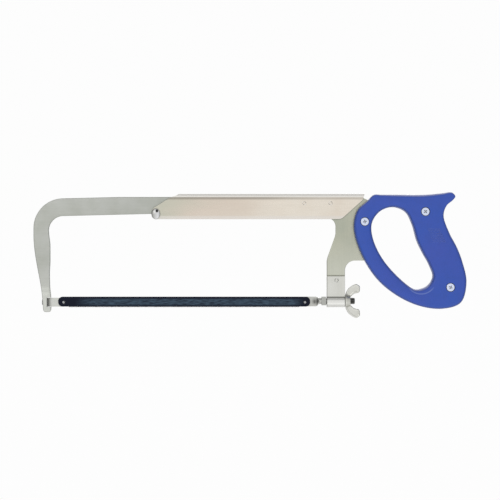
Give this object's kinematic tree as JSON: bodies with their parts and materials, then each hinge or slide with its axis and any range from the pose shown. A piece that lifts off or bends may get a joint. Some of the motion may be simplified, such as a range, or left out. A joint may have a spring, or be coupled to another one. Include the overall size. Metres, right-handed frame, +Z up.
{
  "type": "hacksaw",
  "caption": "Adjustable hacksaw: folded steel spine, sliding front bow, straight toothed blade, wing-nut tensioner and a closed D-shaped handle held by through bolts.",
  "frame": {"origin": "middle of the hand grip, on the saw's middle plane", "axes": "+X from the nose towards the handle, +Y out of the saw's right-hand side, +Z up from the blade towards the spine"},
  "size_m": [0.5373, 0.025, 0.1553],
  "materials": {
    "bow_steel": "dull nickel-plated flat steel bar",
    "spine_nickel": "satin nickel-plated sheet, warm tint",
    "leg_steel": "satin nickel-plated plate, darker and greener than the spine",
    "zinc": "bright zinc-plated small parts",
    "bright_steel": "bright-plated screws and pins",
    "blade_blue": "blue-black lacquered blade steel",
    "handle_blue": "semi-gloss moulded blue plastic"
  },
  "bodies": {
    "frame": {"frame_channel": "spine_nickel", "leg_plate": "leg_steel", "guide_rivet": "zinc", "spine_rivet_1": "spine_nickel", "spine_rivet_2": "spine_nickel", "tension_sleeve": "zinc", "sleeve_rivet": "zinc", "handle_left_shell": "handle_blue", "handle_right_shell": "handle_blue", "handle_bolt_1": "bright_steel", "handle_bolt_2": "bright_steel", "handle_bolt_3": "bright_steel", "handle_nut_1": "zinc", "handle_nut_2": "zinc", "handle_nut_3": "zinc"},
    "bow": {"front_bow": "bow_steel", "front_stud": "zinc", "front_blade_pin": "bright_steel"},
    "blade": {"blade": "blade_blue"},
    "tension_bolt": {"tension_bolt": "zinc", "rear_blade_pin": "bright_steel"},
    "wing_nut": {"wing_nut": "zinc"}
  },
  "joints": [
    {"name": "bow_slide", "type": "slide", "parent": "frame", "child": "bow", "axis": [0.9997, 0, 0.0244], "range_m": [0, 0.0508]},
    {"name": "blade_off", "type": "slide", "parent": "frame", "child": "blade", "axis": [0, -1, 0], "range_m": [0, 0.127]},
    {"name": "wing_nut_turn", "type": "hinge", "parent": "frame", "child": "wing_nut", "pos_m": [-0.1141, 0, -0.068], "axis": [-1, 0, 0], "range_deg": [-130, 70]},
    {"name": "tension_slide", "type": "slide", "parent": "frame", "child": "tension_bolt", "axis": [1, 0, 0], "range_m": [-0.00045, 0.00024]}
  ],
  "couplings": [
    {"joint": "blade_off", "follows": "bow_slide", "ratio": 2.5},
    {"joint": "wing_nut_turn", "follows": "tension_slide", "rad_per_m": 5026.5}
  ]
}
